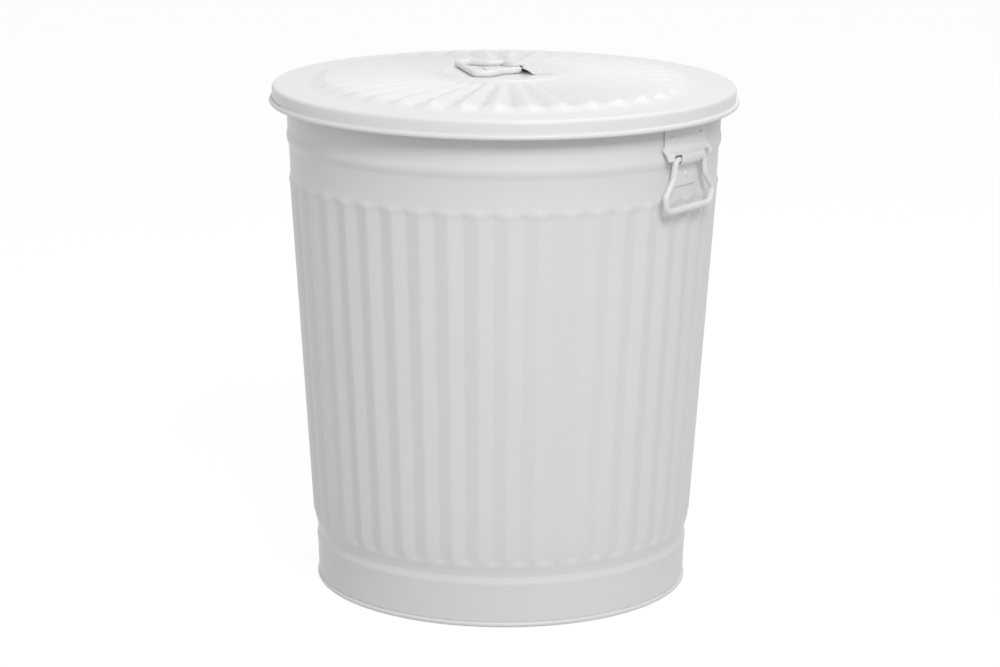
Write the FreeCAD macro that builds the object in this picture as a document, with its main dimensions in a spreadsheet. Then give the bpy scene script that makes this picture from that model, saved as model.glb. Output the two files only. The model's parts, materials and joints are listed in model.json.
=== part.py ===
import FreeCAD, Part
import os
import re
import Sketcher

# A round fluted trash can of pressed sheet steel with a loose ribbed lid.
# The origin is the centre of the foot on the floor, +Z is up, and the two carrying
# handles stand at +X and -X. All lengths are in millimetres and all angles in degrees.

Vector = FreeCAD.Vector
Rotation = FreeCAD.Rotation
Placement = FreeCAD.Placement

UP = Vector(0, 0, 1)
ALONG_WIDTH = Vector(0, 1, 0)
CENTRE = Vector(0, 0, 0)

# Driving dimensions: one row each, name and value.
SIZES = {
    # sheet gauges, and the gap left between pieces that seat on each other
    "wall_sheet": 0.7,
    "foot_sheet": 0.8,
    "pan_sheet": 0.8,
    "lid_sheet": 0.7,
    "bracket_sheet": 1.0,
    "seat": 0.2,
    "seam_inset": 0.2,
    # foot hoop: a rolled lower edge, a tapered band, a shoulder and a turned-in top edge
    "foot_roll_r": 165.0,
    "foot_roll": 2.25,
    "foot_band_flare": 1.7,
    "foot_band_height": 34.5,
    "foot_lip_height": 6.3,
    "foot_lip_draw": 1.1,
    # bottom pan, carried inside the foot of the wall
    "pan_flange": 9.5,
    "pan_bend": 2.0,
    "pan_panel_inset": 31.7,
    "pan_panel_rise": 3.0,
    # wall: joggle above the hoop, fluted length, plain band, swage bead, neck, rolled rim
    "wall_foot_gap": 0.3,
    "joggle_height": 5.0,
    "joggle_out": 0.8,
    "flute_foot_height": 10.0,
    "flute_foot_proud": 2.25,
    "flute_length": 300.0,
    "flute_top_r": 187.1,
    "flute_top_height": 7.0,
    "flute_top_proud": 0.25,
    "flute_depth": 2.5,
    "flute_count": 46,
    "flute_turn": 2.28,
    "band_height": 24.0,
    "band_flare": 0.9,
    "bead_rise": 7.0,
    "bead_crown": 3.0,
    "bead_fall": 5.0,
    "bead_proud": 2.2,
    "bead_dip": 0.95,
    "neck_height": 31.1,
    "neck_flare": 1.1,
    "rim_roll": 3.0,
    # lid: rolled edge, skirt, flat border, ribbed cone and raised centre
    "skirt_clearance": 6.3,
    "lid_roll": 2.25,
    "lid_edge_proud": 2.6,
    "skirt_height": 13.9,
    "lid_bend": 3.4,
    "border_width": 34.4,
    "rib_foot_width": 11.0,
    "rib_foot_rise": 4.9,
    "rib_length": 99.0,
    "rib_climb": 4.3,
    "rib_depth": 2.7,
    "rib_run_in": 8.0,
    "rib_count": 36,
    "rib_turn": 3.5,
    "rib_lap": 0.5,
    "crown_step_width": 2.5,
    "crown_step": 1.6,
    # wire bails
    "wire_d": 5.6,
    "pivot_half": 21.2,
    "neck_half": 24.2,
    "neck_drop": 16.5,
    "grip_half": 36.0,
    "grip_drop": 30.0,
    "bar_half": 33.0,
    "bail_drop": 42.7,
    "pivot_bend": 4.0,
    "neck_bend": 7.0,
    "grip_bend": 6.0,
    "wire_end_gap": 1.5,
    # folded brackets that hold the bails
    "pivot_clearance": 0.3,
    "wire_stand_off": 0.35,
    "bracket_half": 33.5,
    "bracket_up": 27.5,
    "bracket_down": 24.5,
    "tab_half": 17.0,
    "tab_point": 4.5,
    "eave_out": 0.5,
    "eave_lift": 3.0,
    "eave_root": 4.5,
    "fold_inset": 0.4,
    "bracket_seat": 0.32,
    "side_tab_proud": 1.75,
    # rivets through each bracket: two in its plate and one in its tab
    "rivet_d": 3.2,
    "rivet_head_d": 6.0,
    "rivet_head_height": 1.2,
    "rivet_tail_d": 4.8,
    "rivet_clearance": 0.12,
    "plate_rivet_half": 22.0,
    "plate_rivet_up": 17.0,
    "tab_rivet_down": 14.0,
    # lid handle: its turn about the middle of the lid, and its pivot's distance from it
    "lid_handle_turn": 231.0,
    "lid_handle_offset": 8.0,
}

# Places worked out from the driving dimensions. Radii end in _r and heights in _z.
# Lid heights are measured from the underside of the lid's border.
PLACES = {
    "foot_roll_mid_r": "foot_roll_r - foot_roll",
    "foot_roll_top_z": "2 * foot_roll",
    "octagon": "tan(22.5deg)",
    "foot_band_r": "foot_roll_mid_r + foot_roll * octagon",
    "shoulder_r": "foot_band_r + foot_band_flare",
    "shoulder_z": "foot_roll_top_z + foot_band_height",
    "foot_lip_r": "shoulder_r - foot_lip_draw",
    "foot_lip_z": "shoulder_z + foot_lip_height",
    "wall_foot_z": "foot_roll_top_z + seat",
    "wall_foot_r": "foot_band_r - foot_sheet - wall_foot_gap",
    "pan_r": "wall_foot_r - wall_sheet - seat",
    "pan_z": "wall_foot_z + pan_flange",
    "pan_panel_r": "pan_r - pan_panel_inset",
    "joggle_low_r": "foot_lip_r - foot_sheet - wall_foot_gap",
    "joggle_low_z": "foot_lip_z - seat",
    "joggle_top_r": "foot_lip_r + joggle_out",
    "joggle_top_z": "joggle_low_z + joggle_height",
    "flute_low_r": "joggle_top_r + flute_foot_proud",
    "flute_low_z": "joggle_top_z + flute_foot_height",
    "flute_high_z": "flute_low_z + flute_length",
    "band_low_r": "flute_top_r - flute_top_proud",
    "band_low_z": "flute_high_z + flute_top_height",
    "bead_foot_r": "band_low_r + band_flare",
    "bead_foot_z": "band_low_z + band_height",
    "bead_r": "bead_foot_r + bead_proud",
    "bead_low_z": "bead_foot_z + bead_rise",
    "bead_high_z": "bead_low_z + bead_crown",
    "neck_low_r": "bead_r - bead_dip",
    "neck_low_z": "bead_high_z + bead_fall",
    "neck_top_r": "neck_low_r + neck_flare",
    "neck_top_z": "neck_low_z + neck_height",
    "rim_mid_r": "neck_top_r - wall_sheet + rim_roll",
    "rim_mid_z": "neck_top_z + rim_roll",
    "rim_top_z": "rim_mid_z + rim_roll",
    "lid_seat_z": "rim_top_z + seat",
    "rim_r": "rim_mid_r + rim_roll",
    "skirt_r": "rim_r + skirt_clearance + lid_sheet",
    "lid_r": "skirt_r + lid_edge_proud",
    "border_r": "skirt_r - border_width",
    "rib_end_r": "border_r - rib_foot_width",
    "rib_end_z": "rib_foot_rise",
    "rib_start_r": "rib_end_r - rib_length",
    "rib_start_z": "rib_end_z + rib_climb",
    "crown_r": "rib_start_r - crown_step_width",
    "crown_z": "rib_start_z + crown_step",
    "lid_roll_mid_r": "lid_r - lid_roll",
    "lid_roll_mid_z": "-skirt_height + lid_sheet",
    "wire_r": "wire_d / 2",
    "pivot_height": "wire_r + wire_stand_off",
    "pivot_r": "bead_r + pivot_height",
    "pivot_z": "bead_low_z + bead_crown / 2",
    "fold_inner_r": "wire_r + pivot_clearance",
    "fold_outer_r": "fold_inner_r + bracket_sheet",
    "fold_half": "pivot_half - pivot_bend - fold_inset",
    "plate_u": "bracket_seat - pivot_height",
    "plate_r": "bead_r + bracket_seat",
    "side_tab_r": "bead_foot_r + side_tab_proud",
    "side_tab_u": "side_tab_r - pivot_r",
    "side_tab_foot_z": "pivot_z - bracket_down",
    "band_slope": "band_flare / band_height",
    "side_tab_end_r": "band_low_r + band_slope * (side_tab_foot_z - band_low_z) + bracket_seat",
    "side_tab_end_u": "side_tab_end_r - pivot_r",
    "side_tab_slope": "(side_tab_r - side_tab_end_r) / (bracket_down - fold_outer_r)",
    # where each rivet's grip starts behind the sheet, and how long it is
    "neck_slope": "neck_flare / neck_height",
    "plate_rivet_z": "pivot_z + plate_rivet_up",
    "neck_rivet_r": "neck_low_r + neck_slope * (plate_rivet_z - neck_low_z)",
    "plate_grip_r": "neck_rivet_r - wall_sheet - rivet_clearance",
    "plate_grip": "plate_r + bracket_sheet + rivet_clearance - plate_grip_r",
    "tab_rivet_z": "pivot_z - tab_rivet_down",
    "band_rivet_r": "band_low_r + band_slope * (tab_rivet_z - band_low_z)",
    "tab_grip_r": "band_rivet_r - wall_sheet - 2.5 * rivet_clearance",
    "tab_rivet_r": "side_tab_r - side_tab_slope * (tab_rivet_down - fold_outer_r)",
    "tab_grip": "tab_rivet_r + bracket_sheet + rivet_clearance - tab_grip_r",
    "lid_grip": "lid_sheet + bracket_seat + bracket_sheet + 2 * rivet_clearance",
}

doc = FreeCAD.newDocument("TrashCan")


def fill_sheet(name, rows):
    sheet = doc.addObject("Spreadsheet::Sheet", name)
    for line, (alias, content) in enumerate(rows.items(), start=1):
        sheet.set(f"A{line}", alias)
        sheet.set(f"B{line}", content)
        sheet.setAlias(f"B{line}", alias)
    return sheet


def bound(words):
    """The same sum with each named size or place written as its spreadsheet cell."""

    def cell(match):
        word = match.group(0)
        if word in SIZES:
            return f"Sizes.{word}"
        if word in PLACES:
            return f"Places.{word}"
        return word

    return re.sub(r"[A-Za-z_]+[A-Za-z_0-9]*", cell, words)


def own_cells(words):
    """A sum for the sheet of places itself, which names its own cells without a prefix."""
    return "=" + bound(words).replace("Places.", "")


sizes = fill_sheet("Sizes", {name: str(value) for name, value in SIZES.items()})
doc.recompute()
places = fill_sheet("Places", {name: own_cells(words) for name, words in PLACES.items()})
doc.recompute()


def origin_part(body, role):
    return [part for part in body.Origin.OriginFeatures if part.Role == role][0]


def add_sketch(body, name, plane, offset=None):
    sketch = body.newObject("Sketcher::SketchObject", name)
    sketch.AttachmentSupport = [(origin_part(body, plane), "")]
    sketch.MapMode = "FlatFace"
    if offset:
        sketch.setExpression("AttachmentOffset.Base.z", bound(offset))
    return sketch


def draw_outline(sketch, corners, closed=True):
    """Straight edges from corner to corner, each corner held by two bound distances."""
    count = len(corners)
    start = Vector(20, 20, 0)
    rough = [start + Rotation(UP, 360 * i / count).multVec(Vector(9, 2, 0)) for i in range(count)]
    edges = count if closed else count - 1
    for i in range(edges):
        sketch.addGeometry(Part.LineSegment(rough[i], rough[(i + 1) % count]), False)
    for i in range(edges if closed else edges - 1):
        sketch.addConstraint(Sketcher.Constraint("Coincident", i, 2, (i + 1) % edges, 1))
    for i, (across, up) in enumerate(corners):
        edge, end = (i, 1) if i < edges else (i - 1, 2)
        for kind, words, value in (("DistanceX", across, rough[i].x), ("DistanceY", up, rough[i].y)):
            held = sketch.addConstraint(Sketcher.Constraint(kind, -1, 1, edge, end, value))
            sketch.setExpression(f"Constraints[{held}]", bound(words))


def new_body(label):
    body = doc.addObject("PartDesign::Body", label)
    body.Label = label
    return body


def revolve(body, corners):
    """Turn a half-outline of radius and height pairs about the body's upright axis."""
    sketch = add_sketch(body, body.Name + "_outline", "XZ_Plane")
    draw_outline(sketch, corners)
    turned = body.newObject("PartDesign::Revolution", body.Name + "_turned")
    turned.Profile = sketch
    turned.ReferenceAxis = (sketch, ["V_Axis"])
    turned.Angle = 360
    body.Tip = turned
    return turned


def loft_sections(body, name, sections):
    loft = body.newObject("PartDesign::AdditiveLoft", name)
    loft.Profile = sections[0]
    loft.Sections = [(section, ("",)) for section in sections[1:]]
    loft.Ruled = True
    body.Tip = loft
    return loft


def roll(mid_r, mid_z, radius, first, last):
    """Corners of an eight-sided rolled edge, from one to another of its corner numbers."""
    corners = []
    for number in range(first, last + 1):
        angle = 22.5 + 45 * number
        out = f"{radius} * cos({angle}deg) / cos(22.5deg)"
        up = f"{radius} * sin({angle}deg) / cos(22.5deg)"
        corners.append((f"{mid_r} + {out}", f"{mid_z} + {up}"))
    return corners


def cut(label, base, tool):
    result = doc.addObject("Part::Cut", label)
    result.Label = label
    result.Base = base
    result.Tool = tool
    return result


def gather(label, things):
    """Several solids kept as one object."""
    group = doc.addObject("Part::Compound", label)
    group.Label = label
    group.Links = things
    return group


def fuse(label, pieces):
    """One sheet from the stretches that it is formed of."""
    result = doc.addObject("Part::MultiFuse", label)
    result.Label = label
    result.Shapes = pieces
    result.Refine = True
    return result


# --- pressed flutes and ribs: a ring of points for each change of slope, crest and valley
# in turn, and flat facets from ring to ring ------------------------------------------------


def value(name):
    return float((sizes if name in SIZES else places).get(name))


def ring(count, crest, valley):
    """Points around the can, crests (radius, height) and valleys (radius, height) in turn."""
    points = []
    for number in range(2 * count):
        radius, height = valley if number % 2 else crest
        points.append(Rotation(UP, 180 * number / count).multVec(Vector(radius, 0, height)))
    return points


def facets(four):
    """One flat face through four corners, or two where the corners aren't in one plane."""
    a, b, c, d = four
    flat = abs((b - a).cross(c - a).normalize().dot(d - a)) < 1e-6
    corners = [[a, b, c, d]] if flat else [[a, b, c], [a, c, d]]
    return [Part.Face(Part.makePolygon(some + some[:1])) for some in corners]


def pressed_sheet(name, rings, turn):
    """The closed sheet whose section runs through the rings, out along one face and back."""
    faces = []
    for this, following in zip(rings, rings[1:] + rings[:1]):
        for number in range(len(this)):
            after = (number + 1) % len(this)
            faces += facets([this[number], this[after], following[after], following[number]])
    shell = Part.makeShell(faces)
    shell.sewShape()
    solid = Part.makeSolid(shell)
    if solid.Volume < 0:
        solid.reverse()
    sheet = doc.addObject("Part::Feature", name)
    sheet.Shape = solid
    sheet.Placement = Placement(CENTRE, Rotation(UP, turn))
    return sheet


def wall_flutes():
    """Flutes of V section that fade into the plain wall above and below."""
    count = int(value("flute_count"))
    share = value("flute_depth") / value("flute_top_r")
    sheet = value("wall_sheet")
    inset = value("seam_inset")
    outer = []
    inner = []
    for r, z, depth, thin in (
        (value("joggle_top_r"), value("joggle_top_z"), 0, inset),
        (value("flute_low_r"), value("flute_low_z"), share, 0),
        (value("flute_top_r"), value("flute_high_z"), share, 0),
        (value("band_low_r"), value("band_low_z"), 0, inset),
    ):
        valley_r = r * (1 - depth)
        outer.append(ring(count, (r - thin, z), (valley_r - thin, z)))
        back = sheet - thin
        inner.append(ring(count, (r - back, z), (valley_r - back, z)))
    return pressed_sheet("wall_flutes", outer + inner[::-1], value("flute_turn"))


def lid_ribs():
    """Radial ribs of V section, deeper outwards, that fade into the crown and the border."""
    count = int(value("rib_count"))
    share = value("rib_depth") / value("rib_end_r")
    sheet = value("lid_sheet")
    inset = value("seam_inset")
    start_r = value("rib_start_r")
    start_z = value("rib_start_z")
    run_in = value("rib_run_in")
    lower = []
    upper = []
    for r, z, depth, thin in (
        (start_r - value("rib_lap"), start_z, 0, inset),
        (start_r + run_in, start_z - run_in * value("rib_climb") / value("rib_length"), share, 0),
        (value("rib_end_r"), value("rib_end_z"), share, 0),
        (value("border_r") + value("rib_lap"), 0, 0, inset),
    ):
        valley_z = z - r * depth
        lower.append(ring(count, (r, z + thin), (r, valley_z + thin)))
        top = sheet - thin
        upper.append(ring(count, (r, z + top), (r, valley_z + top)))
    ribs = pressed_sheet("lid_ribs", upper + lower[::-1], value("rib_turn"))
    ribs.setExpression("Placement.Base.z", bound("lid_seat_z"))
    return ribs


# --- bails and brackets, each drawn about its pivot: U out of the face that
# carries it, V up the strip and W along the pivot ----------------------------------------


RIGHT, LEFT, ON_LID = 1, -1, 0


def seat(thing, side):
    """Stand a piece at a pivot on the can's side, or lay it on the lid's raised centre."""
    if side == ON_LID:
        # the bail points away from the pivot, to the turn that the sheet gives
        turn = Rotation(UP, value("lid_handle_turn")) * Rotation(ALONG_WIDTH, -90)
        across = "-lid_handle_offset * cos(lid_handle_turn * 1deg)"
        along = "-lid_handle_offset * sin(lid_handle_turn * 1deg)"
        up = "lid_seat_z + lid_sheet + crown_z + pivot_height"
    else:
        turn = Rotation(UP, 0 if side == RIGHT else 180)
        across, along, up = f"{side} * pivot_r", "0", "pivot_z"
    thing.Placement = Placement(CENTRE, turn)
    thing.setExpression("Placement.Base.x", bound(across))
    thing.setExpression("Placement.Base.y", bound(along))
    thing.setExpression("Placement.Base.z", bound(up))


ROUGH_BEND = 2.0  # radius that each bend of a bail is drawn with before it is bound


def make_bail(label):
    """A bent wire loop whose ends meet inside the fold of its bracket."""
    body = new_body(label)
    path = add_sketch(body, label + "_path", "YZ_Plane")
    half = [
        ("wire_end_gap / 2", "0"),
        ("pivot_half", "0"),
        ("neck_half", "-neck_drop"),
        ("grip_half", "-grip_drop"),
        ("bar_half", "-bail_drop"),
    ]
    mirrored = [(f"-{across}", up) for across, up in reversed(half)]
    draw_outline(path, half + mirrored, closed=False)
    doc.recompute()
    bends = ["pivot_bend", "neck_bend", "grip_bend", "grip_bend"]
    for corner, bend in enumerate(bends + bends[::-1]):
        arc = path.GeometryCount
        path.fillet(corner, 2, ROUGH_BEND, True, True)
        held = path.addConstraint(Sketcher.Constraint("Radius", arc, ROUGH_BEND))
        path.setExpression(f"Constraints[{held}]", bound(bend))
    section = add_sketch(body, label + "_section", "XZ_Plane", "-wire_end_gap / 2")
    draw_outline(section, roll("0", "0", "wire_r", 0, 7))
    doc.recompute()
    swept = body.newObject("PartDesign::AdditivePipe", label + "_wire")
    swept.Profile = section
    swept.Spine = (path, [f"Edge{number + 1}" for number in range(len(path.Shape.Edges))])
    body.Tip = swept
    return body


def strip_section(body, name, width, corners):
    sketch = add_sketch(body, name, "XZ_Plane", f"-({width})")
    draw_outline(sketch, corners)
    return sketch


def sagitta(radius, width):
    """How far a face of this radius has fallen back at a distance from its middle."""
    return f"({radius} - sqrt({radius}^2 - ({width})^2))" if radius else "0"


def make_bracket(label, plate_radius, tab_radius, tab_u, tab_end_u):
    """One folded strip: a plate, an eave and half-round fold over the wire, and a tab."""
    body = new_body(label)
    t = "bracket_sheet"
    plates = []
    for number, share in enumerate([-1, -0.5, 0, 0.5, 1]):
        width = f"{share} * bracket_half"
        back = f"(plate_u - {sagitta(plate_radius, width)})"
        lift = f"fold_inner_r + eave_lift * {abs(share)}"
        corners = [
            (back, "bracket_up"),
            (f"{back} + {t}", "bracket_up"),
            (f"{back} + {t}", f"{lift} + {t} + eave_root"),
            ("eave_out", f"{lift} + {t}"),
            ("eave_out", lift),
            (back, f"{lift} + eave_root"),
        ]
        plates.append(strip_section(body, f"{label}_plate{number}", width, corners))
    loft_sections(body, label + "_plate", plates)

    fold = add_sketch(body, label + "_fold_outline", "XZ_Plane")
    angles = [90 - 22.5 * number for number in range(9)]
    outer = [(f"fold_outer_r * cos({angle}deg)", f"fold_outer_r * sin({angle}deg)") for angle in angles]
    inner = [(f"fold_inner_r * cos({angle}deg)", f"fold_inner_r * sin({angle}deg)") for angle in angles]
    root = [
        (f"{tab_u} + {t}", f"-fold_outer_r - {t}"),
        (tab_u, f"-fold_outer_r - {t}"),
        (f"{tab_u} + {t}", "-fold_inner_r"),
    ]
    draw_outline(fold, outer + root + inner[::-1])
    padded = body.newObject("PartDesign::Pad", label + "_fold")
    padded.Profile = fold
    padded.Midplane = True
    padded.setExpression("Length", bound("2 * fold_half"))
    body.Tip = padded

    tabs = []
    for number, share in enumerate([-1, 0, 1]):
        width = f"{share} * tab_half"
        back = sagitta(tab_radius, width)
        end = f"-bracket_down + tab_point * {abs(share)}"
        corners = [
            (f"{tab_u} - {back}", "-fold_outer_r"),
            (f"{tab_u} + {t} - {back}", "-fold_outer_r"),
            (f"{tab_end_u} + {t} - {back}", end),
            (f"{tab_end_u} - {back}", end),
        ]
        tabs.append(strip_section(body, f"{label}_tab{number}", width, corners))
    loft_sections(body, label + "_tab", tabs)
    return body


def along_u(kind, name, start, lengths):
    """A round primitive whose axis runs along U from a starting place."""
    thing = doc.addObject(kind, name)
    thing.Placement = Placement(CENTRE, Rotation(ALONG_WIDTH, 90))
    thing.setExpression("Placement.Base.x", bound(start))
    for size, words in lengths.items():
        thing.setExpression(size, bound(words))
    return thing


def make_rivet(name, grip):
    """Shank, outer head and closed tail, with the start of the grip at the origin."""
    shank = {"Radius": "rivet_d / 2", "Height": grip}
    head = {"Radius1": "rivet_head_d / 2", "Radius2": "rivet_head_d / 3", "Height": "rivet_head_height"}
    tail = {"Radius1": "rivet_d / 2", "Radius2": "rivet_tail_d / 2", "Height": "rivet_head_height"}
    pieces = [
        along_u("Part::Cylinder", name + "_shank", "0", shank),
        along_u("Part::Cone", name + "_head", grip, head),
        along_u("Part::Cone", name + "_tail", "-rivet_head_height", tail),
    ]
    return fuse(name, pieces)


def make_hole(name, grip):
    """The clearance hole for a rivet, run past both ends of its grip."""
    size = {"Radius": "rivet_d / 2 + rivet_clearance", "Height": f"{grip} + 2 * rivet_d"}
    return gather(name, [along_u("Part::Cylinder", name + "_drill", "-rivet_d", size)])


def set_in_bracket(make, label, spots):
    """A rivet or a hole at each spot: across W, up V, back along U, grip, tilt axis and angle."""
    things = []
    for number, (across, up, back, grip, axis, tilt) in enumerate(spots):
        thing = make(f"{label}_{number}", grip)
        thing.Placement = Placement(CENTRE, Rotation(axis, 1))
        thing.setExpression("Placement.Rotation.Angle", bound(tilt))
        thing.setExpression("Placement.Base.x", bound(back))
        thing.setExpression("Placement.Base.y", bound(across))
        thing.setExpression("Placement.Base.z", bound(up))
        things.append(thing)
    return gather(label, things)


def rivet_bracket(name, strip, spots, side):
    """Seat a bracket and rivet it on: the drilled bracket, its rivets and the drills."""
    rivets = set_in_bracket(make_rivet, name + "_rivets", spots)
    drills = set_in_bracket(make_hole, name + "_drills", spots)
    for thing in (strip, rivets, drills):
        seat(thing, side)
    return cut(name, strip, drills), rivets, drills


def offset_back(corners, sheet):
    """The same corners in reverse, drawn in by the sheet's thickness."""
    return [(f"{across} - {sheet}", up) for across, up in reversed(corners)]


wall_foot = new_body("wall_foot")
foot_corners = [
    ("wall_foot_r", "wall_foot_z"),
    ("joggle_low_r", "joggle_low_z"),
    ("joggle_top_r", "joggle_top_z"),
]
revolve(wall_foot, foot_corners + offset_back(foot_corners, "wall_sheet"))

wall_top = new_body("wall_top")
top_corners = [
    ("band_low_r", "band_low_z"),
    ("bead_foot_r", "bead_foot_z"),
    ("bead_r", "bead_low_z"),
    ("bead_r", "bead_high_z"),
    ("neck_low_r", "neck_low_z"),
    ("neck_top_r", "rim_mid_z - rim_roll * octagon"),
]
revolve(
    wall_top,
    top_corners + roll("rim_mid_r", "rim_mid_z", "rim_roll", -2, 3) + offset_back(top_corners, "wall_sheet"),
)
wall = fuse("wall", [wall_foot, wall_flutes(), wall_top])

foot_hoop = new_body("foot_hoop")
revolve(
    foot_hoop,
    roll("foot_roll_mid_r", "foot_roll", "foot_roll", -4, 1)
    + [
        ("shoulder_r", "shoulder_z"),
        ("foot_lip_r", "foot_lip_z"),
        ("foot_lip_r - foot_sheet", "foot_lip_z"),
        ("shoulder_r - foot_sheet", "shoulder_z"),
        ("foot_band_r - foot_sheet", "foot_roll_top_z"),
    ]
    + roll("foot_roll_mid_r", "foot_roll", "foot_roll", 2, 3),
)

bottom_pan = new_body("bottom_pan")
revolve(
    bottom_pan,
    [
        ("0", "pan_z + pan_panel_rise"),
        ("pan_panel_r", "pan_z + pan_panel_rise"),
        ("pan_panel_r + pan_panel_rise", "pan_z"),
        ("pan_r - pan_bend", "pan_z"),
        ("pan_r", "pan_z - pan_bend"),
        ("pan_r", "wall_foot_z"),
        ("pan_r - pan_sheet", "wall_foot_z"),
        ("pan_r - pan_sheet", "pan_z - pan_sheet - pan_bend"),
        ("pan_r - pan_sheet - pan_bend", "pan_z - pan_sheet"),
        ("pan_panel_r + pan_panel_rise - pan_sheet", "pan_z - pan_sheet"),
        ("pan_panel_r - pan_sheet", "pan_z + pan_panel_rise - pan_sheet"),
        ("0", "pan_z + pan_panel_rise - pan_sheet"),
    ],
)

lid_crown = new_body("lid_crown")
revolve(
    lid_crown,
    [
        ("0", "crown_z + lid_sheet"),
        ("crown_r", "crown_z + lid_sheet"),
        ("rib_start_r", "rib_start_z + lid_sheet"),
        ("rib_start_r", "rib_start_z"),
        ("crown_r", "crown_z"),
        ("0", "crown_z"),
    ],
)
lid_edge = new_body("lid_edge")
HALF_WAY = "(1 - sin(45deg))"  # how far in from the corner the middle of a quarter bend lies
INNER_BEND = "(lid_bend - lid_sheet)"
revolve(
    lid_edge,
    [
        ("border_r", "lid_sheet"),
        ("skirt_r - lid_bend", "lid_sheet"),
        (f"skirt_r - {HALF_WAY} * lid_bend", f"lid_sheet - {HALF_WAY} * lid_bend"),
        ("skirt_r", "lid_sheet - lid_bend"),
        ("skirt_r", "lid_roll_mid_z + lid_roll"),
    ]
    + roll("lid_roll_mid_r", "lid_roll_mid_z", "lid_roll", -3, 1)[::-1]
    + [
        ("skirt_r - lid_sheet", "lid_roll_mid_z - lid_roll"),
        ("skirt_r - lid_sheet", "lid_sheet - lid_bend"),
        (f"skirt_r - lid_sheet - {HALF_WAY} * {INNER_BEND}", f"-{HALF_WAY} * {INNER_BEND}"),
        ("skirt_r - lid_bend", "0"),
        ("border_r", "0"),
    ],
)
for thing in (lid_crown, lid_edge):
    thing.setExpression("Placement.Base.z", bound("lid_seat_z"))
lid_sheet_form = fuse("lid_sheet_form", [lid_crown, lid_ribs(), lid_edge])

FAN = "asin(plate_rivet_half / plate_r)"
FANNED_U = f"plate_grip_r * cos({FAN}) - pivot_r"
FANNED_W = f"plate_grip_r * sin({FAN})"
SIDE_SPOTS = [
    (f"-{FANNED_W}", "plate_rivet_up", FANNED_U, "plate_grip", UP, f"-{FAN}"),
    (FANNED_W, "plate_rivet_up", FANNED_U, "plate_grip", UP, FAN),
    ("0", "-tab_rivet_down", "tab_grip_r - pivot_r", "tab_grip", ALONG_WIDTH, "atan(side_tab_slope)"),
]
LID_BACK = "-(pivot_height + lid_sheet + rivet_clearance)"
LID_SPOTS = [
    ("-plate_rivet_half", "plate_rivet_up", LID_BACK, "lid_grip", UP, "0deg"),
    ("plate_rivet_half", "plate_rivet_up", LID_BACK, "lid_grip", UP, "0deg"),
    ("0", "-tab_rivet_down", LID_BACK, "lid_grip", UP, "0deg"),
]

bails = []
brackets = []
rivet_groups = []
wall_drills = []
for side, name in ((RIGHT, "right"), (LEFT, "left")):
    bail = make_bail(f"{name}_handle")
    seat(bail, side)
    strip = make_bracket(f"{name}_strip", "plate_r", "side_tab_r", "side_tab_u", "side_tab_end_u")
    bracket, rivets, drills = rivet_bracket(f"{name}_handle_bracket", strip, SIDE_SPOTS, side)
    bails.append(bail)
    brackets.append(bracket)
    rivet_groups.append(rivets)
    wall_drills.append(drills)

lid_handle = make_bail("lid_handle")
seat(lid_handle, ON_LID)
lid_strip = make_bracket("lid_strip", None, None, "plate_u", "plate_u")
lid_bracket, lid_rivets, lid_drills = rivet_bracket("lid_handle_bracket", lid_strip, LID_SPOTS, ON_LID)
body_shell = cut("body_shell", wall, gather("wall_drills", wall_drills))
lid_shell = cut("lid_shell", lid_sheet_form, lid_drills)

PARTS = [body_shell, foot_hoop, bottom_pan, lid_shell, lid_handle, lid_bracket, lid_rivets]
PARTS += bails + brackets + rivet_groups

doc.recompute()
for thing in doc.Objects:
    if "Invalid" in thing.State or "Error" in thing.State:
        raise RuntimeError(f"{thing.Name} did not rebuild: {thing.State}")
os.makedirs("parts", exist_ok=True)
for part in PARTS:
    if part.Shape.isNull() or not part.Shape.isValid():
        raise RuntimeError(f"{part.Label} has no valid shape")
for part in PARTS:
    part.Shape.exportStep(f"parts/{part.Label}.step")
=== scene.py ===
import json
from math import atan2, cos, pi, radians, sin, sqrt

import bpy
from mathutils import Matrix, Vector


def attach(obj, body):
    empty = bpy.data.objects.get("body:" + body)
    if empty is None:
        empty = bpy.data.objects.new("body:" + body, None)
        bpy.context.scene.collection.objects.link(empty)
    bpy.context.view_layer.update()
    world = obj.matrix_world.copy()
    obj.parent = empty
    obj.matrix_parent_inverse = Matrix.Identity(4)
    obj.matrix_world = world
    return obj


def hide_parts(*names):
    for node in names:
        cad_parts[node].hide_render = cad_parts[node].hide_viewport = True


# A round fluted trash can of white-coated sheet steel with its loose ribbed lid on. Metres:
# +Z is up from the floor, and the two drop handles hang at +X and -X.

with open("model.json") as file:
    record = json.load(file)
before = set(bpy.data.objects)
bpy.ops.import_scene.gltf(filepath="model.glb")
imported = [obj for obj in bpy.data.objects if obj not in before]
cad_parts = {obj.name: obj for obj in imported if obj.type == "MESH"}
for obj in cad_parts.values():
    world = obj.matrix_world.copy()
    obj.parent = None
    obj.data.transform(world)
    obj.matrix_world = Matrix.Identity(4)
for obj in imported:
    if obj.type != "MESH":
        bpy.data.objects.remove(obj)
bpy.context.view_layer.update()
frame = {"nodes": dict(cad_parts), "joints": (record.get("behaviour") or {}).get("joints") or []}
MM = 0.001

# --- places shared by the pieces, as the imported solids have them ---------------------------

WALL = 0.7 * MM
FOOT_SHEET = 0.8 * MM
WIRE_R = 2.8 * MM
ROLL_R = 2.25 * MM  # rolled edges of the foot and the lid
RIM_ROLL_R = 2.9 * MM

JOINTS = {joint["name"]: joint for joint in frame["joints"]}
SIDE_PIVOT = Vector(JOINTS["right_handle_swing"]["pos_m"])
LID_PIVOT = Vector(JOINTS["lid_handle_swing"]["pos_m"])
PLATE_OUT = -2.98 * MM  # back of a bracket's plate, from its pivot
LID_BORDER = 443.4 * MM  # underside of the lid's flat border

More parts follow.
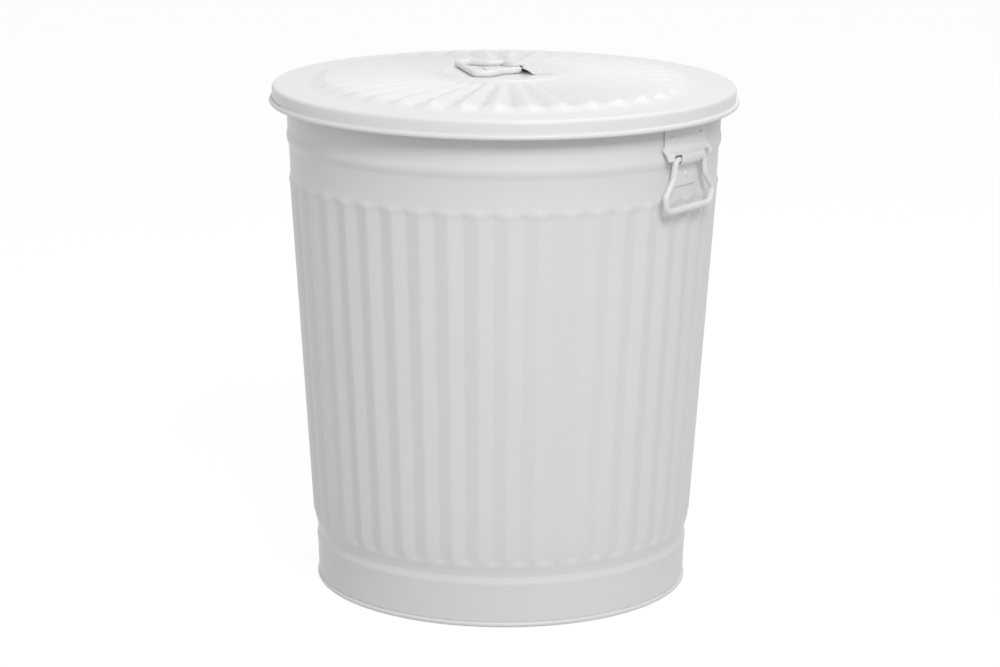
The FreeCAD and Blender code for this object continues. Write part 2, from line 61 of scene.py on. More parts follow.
FLUTES = 46
FLUTE_TURN = radians(2.28)
FLUTE_FOOT, FLUTE_TOP = 60.1 * MM, 360.1 * MM
FLUTE_SHARE = 2.5 / 187.1  # depth of a flute as a share of the radius

RIBS = 36
RIB_TURN = radians(3.5)
RIB_END = 157.0 * MM
RIB_SHARE = 3.5 / 157.0  # depth of a rib as a share of the radius, out to its end

UP = Vector((0, 0, 1))


# --- working on a mesh --------------------------------------------------------------------


def pick_object(thing):
    bpy.ops.object.select_all(action="DESELECT")
    thing.select_set(True)
    bpy.context.view_layer.objects.active = thing
    return thing


def adopt(name):
    """Name the primitive just added, and bring its place into its mesh."""
    thing = bpy.context.active_object
    thing.name = name
    thing.data.name = name
    bpy.ops.object.transform_apply(location=True, rotation=True, scale=True)
    return thing


def select_points(thing, wanted):
    """Select, in edit mode, just the points that a test of their place picks."""
    bpy.ops.object.mode_set(mode="EDIT")
    bpy.ops.mesh.select_mode(type="VERT")
    bpy.ops.mesh.select_all(action="DESELECT")
    bpy.ops.object.mode_set(mode="OBJECT")
    for point in thing.data.vertices:
        point.select = bool(wanted(point.co))
    bpy.ops.object.mode_set(mode="EDIT")


def apply_modifier(thing, kind, **settings):
    modifier = thing.modifiers.new(kind.title(), kind)
    for setting, value in settings.items():
        setattr(modifier, setting, value)
    bpy.ops.object.modifier_apply(modifier=modifier.name)


def finish(thing, angle=40):
    """Merge doubles, point the faces outwards and shade the soft bends smoothly."""
    pick_object(thing)
    bpy.ops.object.mode_set(mode="EDIT")
    bpy.ops.mesh.select_all(action="SELECT")
    bpy.ops.mesh.remove_doubles(threshold=0.002 * MM)
    bpy.ops.mesh.normals_make_consistent(inside=False)
    bpy.ops.object.mode_set(mode="OBJECT")
    bpy.ops.object.shade_smooth_by_angle(angle=radians(angle))
    return thing


def join(things, name):
    pick_object(things[0])
    for thing in things[1:]:
        thing.select_set(True)
    bpy.ops.object.join()
    things[0].name = name
    things[0].data.name = name
    return things[0]


def taper(start, end, steps):
    """Even places between two places of a profile, without the two themselves."""
    (r, z), (end_r, end_z) = start, end
    return [(r + (end_r - r) * k / steps, z + (end_z - z) * k / steps) for k in range(1, steps)]


def turned_sheet(name, columns, turn, profile):
    """One skin turned about the upright axis: a ring pushed on from place to place."""
    bpy.ops.object.select_all(action="DESELECT")
    first_r, first_z = profile[0]
    bpy.ops.mesh.primitive_circle_add(
        vertices=columns, radius=first_r, location=(0, 0, first_z), rotation=(0, 0, turn - pi / 2)
    )
    skin = adopt(name)
    bpy.ops.object.mode_set(mode="EDIT")
    bpy.ops.mesh.select_all(action="SELECT")
    here_r, here_z = first_r, first_z
    for r, z in profile[1:]:
        bpy.ops.mesh.extrude_edges_move(TRANSFORM_OT_translate={"value": (0, 0, z - here_z)})
        grow = r / here_r
        bpy.ops.transform.resize(value=(grow, grow, 1), center_override=(0, 0, z))
        here_r, here_z = r, z
    bpy.ops.object.mode_set(mode="OBJECT")
    return skin


def bend(mid_r, mid_z, radius, first, last, steps):
    """Points of a round bend in a profile, between two angles in degrees."""
    points = []
    for step in range(steps + 1):
        angle = radians(first + (last - first) * step / steps)
        points.append((mid_r + radius * cos(angle), mid_z + radius * sin(angle)))
    return points


def ease(share):
    """A smooth start and end between 0 and 1."""
    share = min(max(share, 0.0), 1.0)
    return share * share * (3 - 2 * share)


def phase(spot, count, turn):
    """How far round from a crest (0) to a valley (1) a point lies."""
    step = 2 * pi / count
    off = ((atan2(spot.y, spot.x) - turn) / step) % 1
    return 1 - abs(2 * off - 1)


COLUMNS = 8  # columns of points in one pressed V: crest, bend, flank, bend, valley and back
BEND_SHARE = 0.1  # half-width of the round crest and valley, as a share of one flank


def v_depth(share):
    """Depth over a V with a narrow rounded crest and valley."""
    if share <= BEND_SHARE:
        return share * share / (2 * BEND_SHARE) / (1 - BEND_SHARE)
    if share >= 1 - BEND_SHARE:
        return 1 - v_depth(1 - share)
    return (share - BEND_SHARE / 2) / (1 - BEND_SHARE)


def draw_to_bends(skin, count, turn):
    """Draw the columns beside each crest and valley close to them, so that the V bends sharply."""
    step = 2 * pi / count
    quarter = step / 8
    slip = quarter - BEND_SHARE * step / 2
    for column, way in ((1, -1), (3, 1), (5, -1), (7, 1)):
        angle = turn + column * quarter

        def in_column(spot):
            off = (atan2(spot.y, spot.x) - angle) / step
            return spot.to_2d().length > 2 * MM and abs(off - round(off)) < 0.03

        select_points(skin, in_column)
        # a rotate in the background turns the other way
        bpy.ops.transform.rotate(value=-way * slip, orient_axis="Z", center_override=(0, 0, 0))
        bpy.ops.object.mode_set(mode="OBJECT")


def press(skin, count, turn, ring_of, sink):
    """Sink the skin between the crests: at each ring, one column of points at a time."""
    for ring in sorted({round(ring_of(point.co), 5) for point in skin.data.vertices}):
        for share in (BEND_SHARE, 0.5, 1 - BEND_SHARE, 1.0):
            select_points(
                skin,
                lambda spot: abs(ring_of(spot) - ring) < 0.02 * MM
                and abs(phase(spot, count, turn) - share) < 0.05,
            )
            sink(ring, v_depth(share))
    bpy.ops.object.mode_set(mode="OBJECT")


# --- the can's wall -------------------------------------------------------------------------

FADE = 6.0 * MM  # length over which a flute dies away at its ends

# The wall's outside from the floor up, in millimetres: radius, and height.
INSIDE_HOOP = [(163.3, 4.8), (163.9, 42.0)]
FLUTES_LOW, FLUTES_HIGH = (168.45, 63.5), (187.1, 356.5)
SHOULDER = [(165.0, 50.1), (165.6, 52.0), (166.2, 54.2), (166.8, 56.4), (167.4, 58.6)]
SHOULDER += [(168.0, 60.9), FLUTES_LOW]
FLUTE_BUMPS = [(187.15, 356.5), (187.6, 359.3), (188.2, 361.6), (187.5, 364.0), (186.9, 366.6)]
PLAIN_BAND = [(186.95, 371.0), (187.75, 391.1)]
BEAD = [(188.0, 392.2), (188.55, 393.7), (189.15, 395.3), (189.6, 396.8), (189.88, 398.2)]
BEAD += [(189.95, 399.6), (189.88, 401.0), (189.6, 402.6), (189.25, 404.2), (189.05, 406.1)]
NECK = [(189.1, 409.0), (190.0, 433.0)]
WALL_PROFILE = INSIDE_HOOP + SHOULDER + taper(FLUTES_LOW, FLUTES_HIGH, 8)
WALL_PROFILE += FLUTE_BUMPS + PLAIN_BAND + BEAD + NECK


def flute_fade(height):
    """1 along a flute, falling to 0 where it dies into the plain wall."""
    return ease((height - (FLUTE_FOOT - FADE)) / FADE) * ease((FLUTE_TOP + FADE - height) / FADE)


def sink_flute(height, depth):
    """Draw the picked points in towards the axis."""
    shrink = 1 - FLUTE_SHARE * flute_fade(height) * depth
    bpy.ops.transform.resize(value=(shrink, shrink, 1), center_override=(0, 0, height))


def make_wall():
    profile = [(r * MM, z * MM) for r, z in WALL_PROFILE]
    rim_r, rim_z = 192.45 * MM, 440.2 * MM
    profile += [(rim_r - RIM_ROLL_R, 436.5 * MM)]
    profile += bend(rim_r, rim_z, RIM_ROLL_R, 180, -150, 18)
    wall = turned_sheet("can_wall", FLUTES * COLUMNS, FLUTE_TURN, profile)
    draw_to_bends(wall, FLUTES, FLUTE_TURN)
    press(wall, FLUTES, FLUTE_TURN, lambda spot: spot.z, sink_flute)
    pick_object(wall)
    apply_modifier(wall, "SOLIDIFY", thickness=WALL, offset=-1)
    return wall


# --- foot hoop and lid ----------------------------------------------------------------------


FOOT_ROLL_R, FOOT_ROLL_Z = 162.75 * MM, 2.25 * MM
HOOP_BAND = [(163.8, 5.2), (163.9, 9.0), (164.6, 30.0)]
HOOP_BEAD = [(165.1, 36.4), (165.3, 37.8), (165.3, 39.2), (165.0, 40.5), (164.5, 42.2)]
HOOP_TOP = [(164.3, 45.2)]
HOOP_R = 165 * MM
SEAM_TURN, SEAM_HALF = radians(7.5), radians(2)  # where the hoop's ends lap, and how widely
SEAM_PROUD = 0.6 * MM
SEAM_FOOT = 5 * MM


def make_hoop():
    profile = bend(FOOT_ROLL_R, FOOT_ROLL_Z, ROLL_R, 200, 440, 14)
    profile += [(r * MM, z * MM) for r, z in HOOP_BAND + HOOP_BEAD + HOOP_TOP]
    hoop = turned_sheet("foot_band", 240, 0, profile)

    def in_lap(spot):
        return abs(atan2(spot.y, spot.x) - SEAM_TURN) < SEAM_HALF and spot.z > SEAM_FOOT

    select_points(hoop, in_lap)
    proud = 1 + SEAM_PROUD / HOOP_R
    bpy.ops.transform.resize(value=(proud, proud, 1), center_override=(0, 0, 0))
    bpy.ops.object.mode_set(mode="OBJECT")
    pick_object(hoop)
    apply_modifier(hoop, "SOLIDIFY", thickness=FOOT_SHEET, offset=-1)
    return hoop


LID_SKIN = 0.7 * MM

# The lid from the middle outwards, in millimetres: radius, and height above its flat border's
# underside.
CROWN = [(1.0, 11.5), (20.0, 11.5), (40.0, 11.5), (54.0, 11.48)]
CROWN_STEP = [(55.2, 11.35), (56.2, 10.9), (57.2, 10.35), (58.2, 10.0)]
RIBS_IN, RIBS_OUT = (66.0, 9.55), (157.0, 7.65)
CROWN_RING = [(60.0, 9.85), (62.0, 9.75), (64.0, 9.65), RIBS_IN]
RIB_ENDS = [(155.5, 7.5), (157.5, 7.0), (159.5, 6.2), (162.0, 4.9), (164.5, 3.6), (167.0, 2.4)]
RIB_ENDS += [(169.0, 1.55), (171.0, 1.0), (173.0, 0.75)]
BORDER = [(175.0, 0.69), (185.0, 0.69), (198.5, 0.69)]
LID_PROFILE = CROWN + CROWN_STEP + CROWN_RING + taper(RIBS_IN, RIBS_OUT, 8) + RIB_ENDS + BORDER


RIBS_RISE_FROM, RIBS_RISE_OVER = 57.5 * MM, 12 * MM
RIBS_GONE_AT, RIBS_DIE_OVER = 172 * MM, 14 * MM


def rib_fade(radius):
    """1 along a rib, falling to 0 at the crown and at the border."""
    grow_in = ease((radius - RIBS_RISE_FROM) / RIBS_RISE_OVER)
    die_out = ease((RIBS_GONE_AT - radius) / RIBS_DIE_OVER)
    return grow_in * die_out


def sink_rib(radius, depth):
    """Lower the picked points."""
    low = RIB_SHARE * min(radius, RIB_END) * rib_fade(radius) * depth
    bpy.ops.transform.translate(value=(0, 0, -low))


SKIRT_R = 202.4 * MM
SKIRT_BEND = 3.4 * MM
SKIRT_BEND_DOWN = 2.7 * MM  # middle of the bend, below the border's underside
SKIRT_FROM, SKIRT_TO = 6.0 * MM, 10.4 * MM  # its straight part, below the border's underside
SKIRT_LEAN = 0.6 * MM
LID_ROLL_R, LID_ROLL_DOWN = 202.75 * MM, 13.2 * MM


def make_lid():
    profile = [(r * MM, LID_BORDER + z * MM) for r, z in LID_PROFILE]
    bend_z = LID_BORDER - SKIRT_BEND_DOWN
    profile += bend(SKIRT_R - SKIRT_BEND, bend_z, SKIRT_BEND, 90, 0, 8)
    profile += [(SKIRT_R, LID_BORDER - SKIRT_FROM)]
    profile += [(SKIRT_R - SKIRT_LEAN, LID_BORDER - SKIRT_TO)]
    profile += bend(LID_ROLL_R, LID_BORDER - LID_ROLL_DOWN, ROLL_R, 115, -200, 18)
    lid = turned_sheet("lid_sheet", RIBS * COLUMNS, RIB_TURN, profile)
    # the first ring closes to a point at the lid's middle
    select_points(lid, lambda spot: spot.to_2d().length < 1.5 * MM)
    bpy.ops.mesh.merge(type="CENTER")
    bpy.ops.object.mode_set(mode="OBJECT")
    draw_to_bends(lid, RIBS, RIB_TURN)
    press(lid, RIBS, RIB_TURN, lambda spot: spot.to_2d().length, sink_rib)
    pick_object(lid)
    apply_modifier(lid, "SOLIDIFY", thickness=LID_SKIN, offset=1)
    return lid


# --- handles: modelled at the origin with U out, V up and W along the pivot -------------------


def seat_on_side(thing, side):
    turn = Matrix.Rotation(0 if side > 0 else pi, 4, "Z")
    thing.data.transform(turn @ Matrix.Translation(SIDE_PIVOT))
    return thing


def seat_on_lid(thing):
    """Lay a piece down so that it points the way the lid's handle lies."""
    across = -Vector(JOINTS["lid_handle_swing"]["axis"])
    turn = Matrix((UP, across, UP.cross(across))).transposed()
    thing.data.transform(Matrix.Translation(LID_PIVOT) @ turn.to_4x4())
    return thing


# Half of a bail's corners from its wire end, in millimetres: along the pivot, and up.
BAIL_HALF = [(0.8, 0.0), (21.2, 0.0), (24.2, -16.5), (36.0, -30.0), (33.0, -42.7)]
BAIL_BENDS = [4.0, 7.0, 6.0, 6.0]


def make_bail(name):
    """A wire bent through its corners and given its thickness."""
    route = BAIL_HALF + [(-w, v) for w, v in reversed(BAIL_HALF)]
    bpy.ops.object.select_all(action="DESELECT")
    bpy.ops.mesh.primitive_plane_add(size=1, location=(0, 0, 0))
    wire = adopt(name)
    bpy.ops.object.mode_set(mode="EDIT")
    bpy.ops.mesh.select_all(action="SELECT")
    bpy.ops.mesh.merge(type="CENTER")
    here = Vector((0, 0, 0))
    for number, (w, v) in enumerate(route):
        there = Vector((0, w * MM, v * MM))
        if number:
            bpy.ops.mesh.extrude_vertices_move(TRANSFORM_OT_translate={"value": there - here})
        else:
            bpy.ops.transform.translate(value=there - here)
        here = there
    bpy.ops.object.mode_set(mode="OBJECT")
    corners = [Vector((0, w * MM, v * MM)) for w, v in route]
    for number, radius in enumerate(BAIL_BENDS + BAIL_BENDS[::-1], start=1):
        corner = corners[number]
        before = (corners[number - 1] - corner).normalized()
        after = (corners[number + 1] - corner).normalized()
        half = before.angle(after) / 2
        reach = radius * MM * cos(half) / sin(half)
        select_points(wire, lambda spot: (spot - corner).length < 0.01 * MM)
        bpy.ops.mesh.bevel(offset=reach, offset_type="OFFSET", segments=8, affect="VERTICES")
        bpy.ops.object.mode_set(mode="OBJECT")
    bpy.ops.object.convert(target="CURVE")
    wire = bpy.context.active_object
    wire.data.dimensions = "3D"
    wire.data.bevel_depth = WIRE_R
    wire.data.bevel_resolution = 6
    wire.data.use_fill_caps = True
    bpy.ops.object.convert(target="MESH")
    wire = bpy.context.active_object
    wire.name = name
    wire.data.name = name
    return wire


STRIP_SHEET = 1.0 * MM
PLATE_HALF = 33.5 * MM
PLATE_TOP, PLATE_FOOT = 27.0 * MM, 12.0 * MM  # the flat of the plate, up from the pivot
PLATE_TRIM = 0.93  # width of the flat as a share of the eave's
TAB_HALF = 17.0 * MM
TAB_BEND, TAB_FLAT, TAB_END = 5.2 * MM, 8 * MM, 24.0 * MM  # places down the tab from the pivot


def strip(name, half, columns, line):
    """A strip of sheet as wide as twice half, pushed on through the places of a line."""
    bpy.ops.object.select_all(action="DESELECT")
    bpy.ops.mesh.primitive_grid_add(x_subdivisions=1, y_subdivisions=columns, size=2 * half)
    sheet = adopt(name)
    select_points(sheet, lambda spot: spot.x > 0)
    bpy.ops.mesh.delete(type="VERT")
    bpy.ops.object.mode_set(mode="OBJECT")
    u, v = line[0]
    select_points(sheet, lambda spot: True)
    bpy.ops.transform.translate(value=(u + half, 0, v))
    here = (u, v)
    for u, v in line[1:]:
        bpy.ops.mesh.extrude_edges_move(
            TRANSFORM_OT_translate={"value": (u - here[0], 0, v - here[1])}
        )
        here = (u, v)
    bpy.ops.object.mode_set(mode="OBJECT")
    return sheet


def shift_columns(sheet, amount):
    """Move each column of points by an amount that depends on its place across."""
    for across in sorted({round(point.co.y, 6) for point in sheet.data.vertices}):
        select_points(sheet, lambda spot: abs(spot.y - across) < 0.01 * MM)
        bpy.ops.transform.translate(value=amount(across))
        bpy.ops.object.mode_set(mode="OBJECT")


def fall_back(radius, across):
    """How far a round face has fallen back at a place across it; none where it is flat."""
    return sqrt(radius * radius - across * across) - radius if radius else 0.0


# Eave over the wire, and the fold round its front, from the top down: out and up of the pivot.
EAVE = [(-2.3, 10.0), (-1.2, 8.0), (0.6, 6.5), (2.3, 5.5), (3.6, 4.75)]
FOLD = [(3.6, 4.75), (4.4, 3.5), (4.7, 1.3), (4.4, -1.3), (3.3, -3.2), (1.5, -4.1), (-0.8, -4.3)]
LEG_GAP = 27.3 * MM  # half-width that the swinging legs need under the eave
TIP_DROPS = [(2.6, 5.1), (2.0, 5.9)]  # drops of the eave's tips, each for the points below a height
TIP_OUT = 0.3 * MM


def make_bracket(name, plate_r, tab_u, tab_end_u, swell):
    """Plate and eave over the wire, the fold round its front, and the tab below it."""

    def swollen(route):
        return [(u * MM * (swell if u > 0 else 1), v * MM) for u, v in route]

    plate_u = PLATE_OUT + STRIP_SHEET / 2
    line = [(plate_u, PLATE_TOP), (plate_u, PLATE_FOOT)] + swollen(EAVE)
    plate = strip(name, PLATE_HALF, 24, line)

    def plate_bow(across):
        return Vector((fall_back(plate_r, across), 0, 0))

    select_points(plate, lambda spot: spot.z > PLATE_FOOT - 0.5 * MM)
    bpy.ops.transform.resize(value=(1, PLATE_TRIM, 1), center_override=(0, 0, 0))
    bpy.ops.object.mode_set(mode="OBJECT")
    shift_columns(plate, plate_bow)
    # the eave's two outer tips drop past the legs
    for drop, reach in TIP_DROPS:
        select_points(plate, lambda spot: abs(spot.y) > LEG_GAP and 0 < spot.z < reach * MM)
        bpy.ops.transform.translate(value=(TIP_OUT, 0, -drop * MM))
        bpy.ops.object.mode_set(mode="OBJECT")
    fold = swollen(FOLD)
    half_sheet = STRIP_SHEET / 2
    fold += [(tab_u + half_sheet, -TAB_BEND), (tab_u + half_sheet, -TAB_FLAT)]
    fold += [(tab_end_u + half_sheet, -TAB_END)]
    tab = strip(name + "_tab", TAB_HALF, 12, fold)
    shift_columns(tab, plate_bow)
    bracket = join([plate, tab], name)
    pick_object(bracket)
    apply_modifier(bracket, "SOLIDIFY", thickness=STRIP_SHEET, offset=0)
    return bracket


# --- rivets ---------------------------------------------------------------------------------

RIVET_SPOTS = [(-22.0, 17.0), (22.0, 17.0), (0.0, -14.0)]  # along the pivot and up from it, mm
HEAD_R = 3.0 * MM
HEAD_RISE = 0.42  # height of a head's dome as a share of its radius
HEAD_SUNK = 0.4 * MM


def make_rivets(name, plate_r, plate_u, tab_u):
    """Low domed heads on the outside of a bracket."""
    heads = []
    for number, (w, v) in enumerate(RIVET_SPOTS):
        across = w * MM
        face = (tab_u if v < 0 else plate_u) + fall_back(plate_r, across) + STRIP_SHEET
        bpy.ops.object.select_all(action="DESELECT")
        bpy.ops.mesh.primitive_uv_sphere_add(
            segments=24,
            ring_count=16,
            radius=HEAD_R,
            scale=(HEAD_RISE, 1, 1),
            location=(face, across, v * MM),
            rotation=(0, 0, across / plate_r if plate_r else 0),
        )
        head = adopt(f"{name}_{number}")
        select_points(head, lambda spot: spot.x < face - HEAD_SUNK)
        bpy.ops.mesh.delete(type="VERT")
        bpy.ops.mesh.select_all(action="SELECT")
        bpy.ops.mesh.region_to_loop()
        bpy.ops.mesh.edge_face_add()
        bpy.ops.object.mode_set(mode="OBJECT")
        heads.append(head)
    return join(heads, name)


# --- finishes -------------------------------------------------------------------------------


MIX_A, MIX_B, MIX_COLOUR = 6, 7, 2  # a Mix node's colour inputs and its colour output


def group_socket(group, name, direction, kind, value=None):
    socket = group.interface.new_socket(name=name, in_out=direction, socket_type=kind)
    if value is not None:
        socket.default_value = value
    return socket


def coat_texture():
    """Orange peel and a few paint specks, as a height, with a soft change of tone."""
    group = bpy.data.node_groups.new("coat_texture", "ShaderNodeTree")
    group_socket(group, "Peel Size", "INPUT", "NodeSocketFloat", 420.0)
    group_socket(group, "Speck Size", "INPUT", "NodeSocketFloat", 38.0)
    group_socket(group, "Speck Height", "INPUT", "NodeSocketFloat", 0.5)
    group_socket(group, "Height", "OUTPUT", "NodeSocketFloat")
    group_socket(group, "Tone", "OUTPUT", "NodeSocketFloat")
    nodes, links = group.nodes, group.links
    given = nodes.new("NodeGroupInput")
    result = nodes.new("NodeGroupOutput")
    spot = nodes.new("ShaderNodeTexCoord")
    peel = nodes.new("ShaderNodeTexNoise")
    peel.inputs["Detail"].default_value = 2.0
    links.new(spot.outputs["Object"], peel.inputs["Vector"])
    links.new(given.outputs["Peel Size"], peel.inputs["Scale"])
    speck = nodes.new("ShaderNodeTexVoronoi")
    links.new(spot.outputs["Object"], speck.inputs["Vector"])
    links.new(given.outputs["Speck Size"], speck.inputs["Scale"])
    dot = nodes.new("ShaderNodeMapRange")
    dot.interpolation_type = "SMOOTHSTEP"
    dot.inputs["From Min"].default_value = 0.0
    dot.inputs["From Max"].default_value = 0.055
    dot.inputs["To Min"].default_value = 1.0
    dot.inputs["To Max"].default_value = 0.0
    links.new(speck.outputs["Distance"], dot.inputs["Value"])
    few = nodes.new("ShaderNodeMath")
    few.operation = "GREATER_THAN"
    few.inputs[1].default_value = 0.9
    pick = nodes.new("ShaderNodeSeparateColor")
    links.new(speck.outputs["Color"], pick.inputs["Color"])
    links.new(pick.outputs["Red"], few.inputs[0])
    kept = nodes.new("ShaderNodeMath")
    kept.operation = "MULTIPLY"
    links.new(dot.outputs["Result"], kept.inputs[0])
    links.new(few.outputs["Value"], kept.inputs[1])
    tall = nodes.new("ShaderNodeMath")
    tall.operation = "MULTIPLY"
    links.new(kept.outputs["Value"], tall.inputs[0])
    links.new(given.outputs["Speck Height"], tall.inputs[1])
    small = nodes.new("ShaderNodeMath")
    small.operation = "MULTIPLY_ADD"
    small.inputs[1].default_value = 0.06
    links.new(peel.outputs["Fac"], small.inputs[0])
    links.new(tall.outputs["Value"], small.inputs[2])
    links.new(small.outputs["Value"], result.inputs["Height"])
    cloud = nodes.new("ShaderNodeTexNoise")
    cloud.inputs["Scale"].default_value = 9.0
    cloud.inputs["Detail"].default_value = 4.0
    links.new(spot.outputs["Object"], cloud.inputs["Vector"])
    links.new(cloud.outputs["Fac"], result.inputs["Tone"])
    return group


COAT_TEXTURE = coat_texture()


def white_coat(name, light, dark, roughness, peel=420.0, specks=38.0, speck_height=0.5, bump=0.25):
    """White powder coat over sheet steel or wire."""
    material = bpy.data.materials.new(name)
    material.use_nodes = True
    nodes, links = material.node_tree.nodes, material.node_tree.links
    shader = nodes["Principled BSDF"]
    shader.inputs["Metallic"].default_value = 0.0
    shader.inputs["IOR"].default_value = 1.5
    texture = nodes.new("ShaderNodeGroup")
    texture.node_tree = COAT_TEXTURE
    texture.inputs["Peel Size"].default_value = peel
    texture.inputs["Speck Size"].default_value = specks
    texture.inputs["Speck Height"].default_value = speck_height
    colour = nodes.new("ShaderNodeMix")
    colour.data_type = "RGBA"
    colour.inputs[MIX_A].default_value = (*dark, 1)
    colour.inputs[MIX_B].default_value = (*light, 1)
    links.new(texture.outputs["Tone"], colour.inputs[0])
    links.new(colour.outputs[MIX_COLOUR], shader.inputs["Base Color"])
    gloss = nodes.new("ShaderNodeMapRange")
    gloss.inputs["To Min"].default_value = roughness - 0.05
    gloss.inputs["To Max"].default_value = roughness + 0.05
    links.new(texture.outputs["Tone"], gloss.inputs["Value"])
    links.new(gloss.outputs["Result"], shader.inputs["Roughness"])
    relief = nodes.new("ShaderNodeBump")
    relief.inputs["Strength"].default_value = bump
    relief.inputs["Distance"].default_value = 0.4 * MM
    links.new(texture.outputs["Height"], relief.inputs["Height"])
    links.new(relief.outputs["Normal"], shader.inputs["Normal"])
    return material


def wear(thing, material):
    thing.data.materials.clear()
    thing.data.materials.append(material)


WHITE = (0.80, 0.80, 0.80)
SHADE = (0.77, 0.77, 0.772)
WALL_COAT = white_coat("wall_coat", WHITE, SHADE, 0.42)
# The lid's coat is a lighter white than the wall's: painted top light, standing in for the light
# that falls on the lid from above.
LID_COAT_PAINTED_TOP_LIGHT = white_coat("lid_coat", (0.85, 0.85, 0.85), (0.82, 0.82, 0.822), 0.4)
HOOP_COAT = white_coat("hoop_coat", WHITE, SHADE, 0.42, specks=30.0)
WIRE_COAT = white_coat("wire_coat", (0.84, 0.84, 0.84), WHITE, 0.35, peel=700.0, speck_height=0.2)
STRIP_COAT = white_coat("strip_coat", (0.84, 0.84, 0.84), WHITE, 0.38, specks=70.0)
RIVET_COAT = white_coat("rivet_coat", (0.83, 0.83, 0.83), WHITE, 0.35, peel=700.0)
PAN_COAT = white_coat("pan_coat", (0.78, 0.78, 0.78), (0.74, 0.74, 0.742), 0.45)


# --- the dressed object -----------------------------------------------------------------------


def dress(thing, node, body, material, angle=40):
    """Finish and coat a piece, and put it in its node's place on its body."""
    finish(thing, angle)
    wear(thing, material)
    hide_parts(node)
    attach(thing, body)
    return thing


SIDE_PLATE_R = 190.27 * MM
SIDE_TAB_U, SIDE_TAB_END_U = -3.6 * MM, -5.6 * MM
TAB_FACE_IN = 0.9 * MM  # how far a side tab's face has fallen back at its rivet
LID_SWELL = 0.76  # the lid's fold is slimmer, so that it keeps within the height of the can

dress(make_wall(), "body_shell", "bin", WALL_COAT, 50)
dress(make_hoop(), "foot_hoop", "bin", HOOP_COAT)
# the lid wears the lighter coat with the painted top light
dress(make_lid(), "lid_shell", "lid", LID_COAT_PAINTED_TOP_LIGHT, 50)
for side, name in ((1, "right"), (-1, "left")):
    bail = seat_on_side(make_bail(f"{name}_bail"), side)
    dress(bail, f"{name}_handle", f"{name}_bail", WIRE_COAT, 60)
    bracket = make_bracket(f"{name}_bracket", SIDE_PLATE_R, SIDE_TAB_U, SIDE_TAB_END_U, 1)
    dress(seat_on_side(bracket, side), f"{name}_handle_bracket", "bin", STRIP_COAT)
    rivets = make_rivets(f"{name}_rivets", SIDE_PLATE_R, PLATE_OUT, SIDE_TAB_U - TAB_FACE_IN)
    dress(seat_on_side(rivets, side), f"{name}_handle_bracket_rivets", "bin", RIVET_COAT)

dress(seat_on_lid(make_bail("lid_bail")), "lid_handle", "lid_bail", WIRE_COAT, 60)
lid_bracket = make_bracket("lid_bracket", 0, PLATE_OUT, PLATE_OUT, LID_SWELL)
dress(seat_on_lid(lid_bracket), "lid_handle_bracket", "lid", STRIP_COAT)
lid_rivets = make_rivets("lid_rivets", 0, PLATE_OUT, PLATE_OUT)
dress(seat_on_lid(lid_rivets), "lid_handle_bracket_rivets", "lid", RIVET_COAT)

wear(frame["nodes"]["bottom_pan"], PAN_COAT)


# --- floor, light and camera ------------------------------------------------------------------


def stage_white(name):
    """Near white to the camera, with the object's soft shadow, and white in reflections."""
    material = bpy.data.materials.new(name)
    material.use_nodes = True
    nodes, links = material.node_tree.nodes, material.node_tree.links
    matt = nodes["Principled BSDF"]
    matt.inputs["Base Color"].default_value = (0.65, 0.65, 0.65, 1)
    matt.inputs["Roughness"].default_value = 0.9
    matt.inputs["Specular IOR Level"].default_value = 0.1
    white = nodes.new("ShaderNodeEmission")
    white.inputs["Color"].default_value = (1, 1, 1, 1)
    white.inputs["Strength"].default_value = 1.09
    path = nodes.new("ShaderNodeLightPath")
    seen = nodes.new("ShaderNodeMath")
    seen.operation = "MULTIPLY_ADD"
    links.new(path.outputs["Is Camera Ray"], seen.inputs[0])
    seen.inputs[1].default_value = 0.86  # the rest is the lit floor, which holds the shadow
    links.new(path.outputs["Is Glossy Ray"], seen.inputs[2])
    mix = nodes.new("ShaderNodeMixShader")
    links.new(seen.outputs["Value"], mix.inputs["Fac"])
    links.new(matt.outputs["BSDF"], mix.inputs[1])
    links.new(white.outputs["Emission"], mix.inputs[2])
    links.new(mix.outputs["Shader"], nodes["Material Output"].inputs["Surface"])
    return material


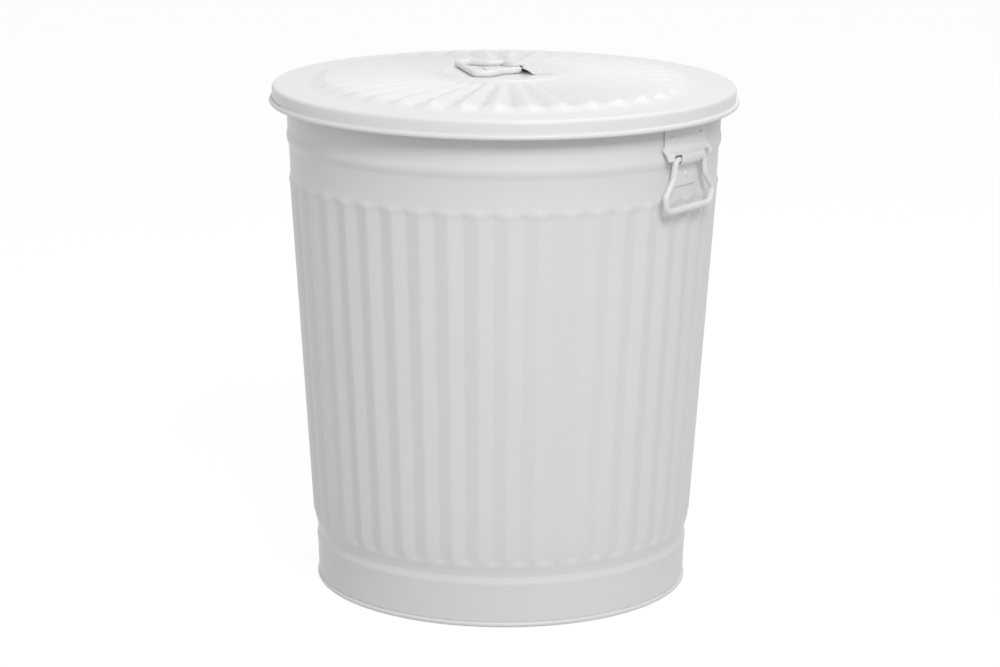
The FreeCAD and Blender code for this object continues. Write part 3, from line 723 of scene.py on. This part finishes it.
def make_floor():
    bpy.ops.object.select_all(action="DESELECT")
    bpy.ops.mesh.primitive_plane_add(size=8, location=(0, 0, -0.0005))
    floor = adopt("floor")
    wear(floor, stage_white("floor_white"))


def area_light(name, size, power, stand, aim):
    data = bpy.data.lights.new(name, "AREA")
    data.size = size
    data.energy = power
    lamp = bpy.data.objects.new(name, data)
    lamp.location = stand
    lamp.rotation_euler = (Vector(aim) - Vector(stand)).to_track_quat("-Z", "Y").to_euler()
    bpy.context.collection.objects.link(lamp)


def set_world():
    world = bpy.data.worlds.new("studio")
    bpy.context.scene.world = world
    world.use_nodes = True
    nodes, links = world.node_tree.nodes, world.node_tree.links
    sky = nodes["Background"]
    sky.inputs["Color"].default_value = (1, 1, 1, 1)
    path = nodes.new("ShaderNodeLightPath")
    seen = nodes.new("ShaderNodeMath")
    seen.operation = "MAXIMUM"
    links.new(path.outputs["Is Camera Ray"], seen.inputs[0])
    links.new(path.outputs["Is Glossy Ray"], seen.inputs[1])
    strength = nodes.new("ShaderNodeMapRange")
    strength.inputs["To Min"].default_value = 0.37
    strength.inputs["To Max"].default_value = 1.0
    links.new(seen.outputs["Value"], strength.inputs["Value"])
    links.new(strength.outputs["Result"], sky.inputs["Strength"])


def set_camera():
    """The photograph's view: from in front and to the right, looking slightly down."""
    data = bpy.data.cameras.new("photo_camera")
    data.sensor_width = 36
    data.lens = 112.33
    data.shift_x = -0.0025
    camera = bpy.data.objects.new("photo_camera", data)
    stand = Vector((1.585702, -2.182532, 0.859324))
    aim = Vector((0, 0, 0.2191645))
    camera.location = stand
    look = (aim - stand).to_track_quat("-Z", "Y").to_matrix()
    tilt = Matrix.Rotation(radians(0.408), 3, "Z")
    camera.rotation_euler = (look @ tilt).to_euler()
    bpy.context.collection.objects.link(camera)
    bpy.context.scene.camera = camera


make_floor()
set_world()
area_light("key", 1.0, 50, (1.95, -1.5, 2.3), (0, 0, 0.2))
area_light("top", 1.2, 14, (0.1, 0.9, 2.5), (0, 0, 0.4))
area_light("left", 1.6, 6, (-2.2, -1.6, 0.8), (0, 0, 0.2))
set_camera()
bpy.context.scene.view_settings.view_transform = "Standard"

bpy.context.view_layer.update()
